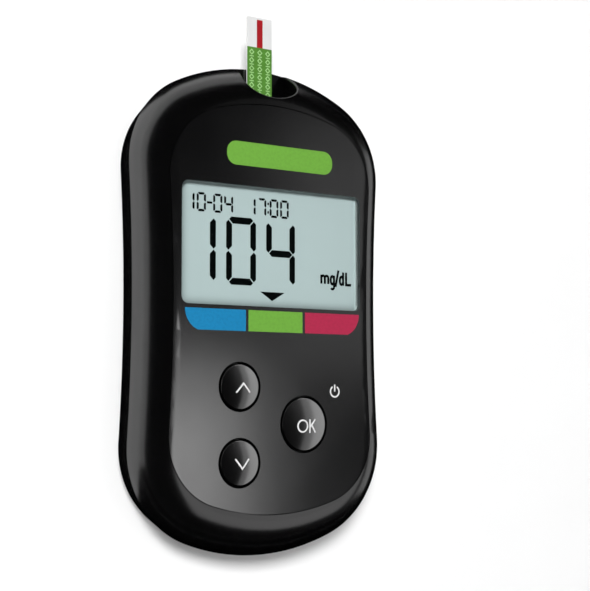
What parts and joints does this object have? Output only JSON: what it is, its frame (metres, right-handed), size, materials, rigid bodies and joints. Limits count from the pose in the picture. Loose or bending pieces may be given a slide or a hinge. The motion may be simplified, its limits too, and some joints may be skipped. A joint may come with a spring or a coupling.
{
  "type": "blood glucose meter",
  "caption": "Handheld blood glucose meter with a waisted black case, an oval strip scoop with a test strip in it, a segment display, round sprung keys and a sliding battery door.",
  "frame": {"origin": "middle of the case's length and width, on the flat back face", "axes": "+Z out of the display, +Y up the length towards the strip port, +X to the right when the display is read"},
  "size_m": [0.052, 0.0955, 0.0162],
  "materials": {
    "shell_black": "black, semi-gloss moulded ABS",
    "fascia_black": "black, smooth gloss fascia",
    "key_black": "black, polished key caps with pale marks",
    "lens_clear": "clear moulded acrylic",
    "gasket_foam": "black foam",
    "polariser_film": "pale blue-green polarising film",
    "lcd_glass": "display glass with liquid crystal segments",
    "frame_white": "white moulded display carrier",
    "elastomer_pink": "striped conductive elastomer",
    "board_green": "green solder mask on glass-epoxy board",
    "dome_steel": "thin stainless snap dome",
    "connector_nylon": "natural glass-filled nylon",
    "contact_gold": "gold-plated bronze contacts",
    "chip_epoxy": "black moulded package",
    "passive_ceramic": "ceramic chip parts with tinned ends",
    "crystal_can": "nickel-plated can",
    "socket_steel": "stamped nickel-plated steel shell",
    "socket_nylon": "black nylon insulator",
    "cell_steel": "nickel-plated steel coin cell",
    "cell_contact_nickel": "nickel-plated spring steel",
    "screw_steel": "zinc-plated steel screws",
    "strip_base_white": "white polyester film",
    "strip_cover_green": "green printed film with a lighter plain pattern",
    "strip_tip_white": "white film",
    "strip_reagent_red": "dark red reagent channel",
    "strip_silver": "silver ink electrodes"
  },
  "bodies": {
    "case": {"front_shell": "shell_black", "rear_shell": "shell_black", "fascia_panel": "fascia_black", "display_lens": "lens_clear", "display_gasket": "gasket_foam", "front_polariser": "polariser_film", "lcd_front_glass": "lcd_glass", "lcd_rear_glass": "lcd_glass", "rear_polariser": "polariser_film", "lcd_frame": "frame_white", "zebra_connector": "elastomer_pink", "circuit_board": "board_green", "up_dome": "dome_steel", "down_dome": "dome_steel", "ok_dome": "dome_steel", "strip_connector": "connector_nylon", "strip_contacts": "contact_gold", "microcontroller": "chip_epoxy", "memory_chip": "chip_epoxy", "strip_interface_chip": "chip_epoxy", "clock_crystal": "crystal_can", "passive_components": "passive_ceramic", "data_socket_shell": "socket_steel", "data_socket_tongue": "socket_nylon", "coin_cell": "cell_steel", "battery_contact_plus": "cell_contact_nickel", "battery_contact_minus": "cell_contact_nickel", "board_screws": "screw_steel", "case_screws": "screw_steel"},
    "up_key": {"up_button": "key_black"},
    "down_key": {"down_button": "key_black"},
    "ok_key": {"ok_button": "key_black"},
    "strip": {"test_strip_base": "strip_base_white", "test_strip_cover": "strip_cover_green", "test_strip_tip": "strip_tip_white", "test_strip_channel": "strip_reagent_red", "test_strip_electrodes": "strip_silver"},
    "door": {"battery_door": "shell_black"}
  },
  "joints": [
    {"name": "up_press", "type": "slide", "parent": "case", "child": "up_key", "axis": [0, 0, -1], "range_m": [0, 0.0004], "stiffness_N_per_m": 400, "springref_m": -0.0001, "deforming": ["up_dome"]},
    {"name": "down_press", "type": "slide", "parent": "case", "child": "down_key", "axis": [0, 0, -1], "range_m": [0, 0.0004], "stiffness_N_per_m": 400, "springref_m": -0.0001, "deforming": ["down_dome"]},
    {"name": "ok_press", "type": "slide", "parent": "case", "child": "ok_key", "axis": [0, 0, -1], "range_m": [0, 0.0004], "stiffness_N_per_m": 400, "springref_m": -0.0001, "deforming": ["ok_dome"]},
    {"name": "strip_pull", "type": "slide", "parent": "case", "child": "strip", "axis": [0, 1, 0], "range_m": [0, 0.018]},
    {"name": "door_slide", "type": "slide", "parent": "case", "child": "door", "axis": [0, -1, 0], "range_m": [0, 0.03]}
  ]
}
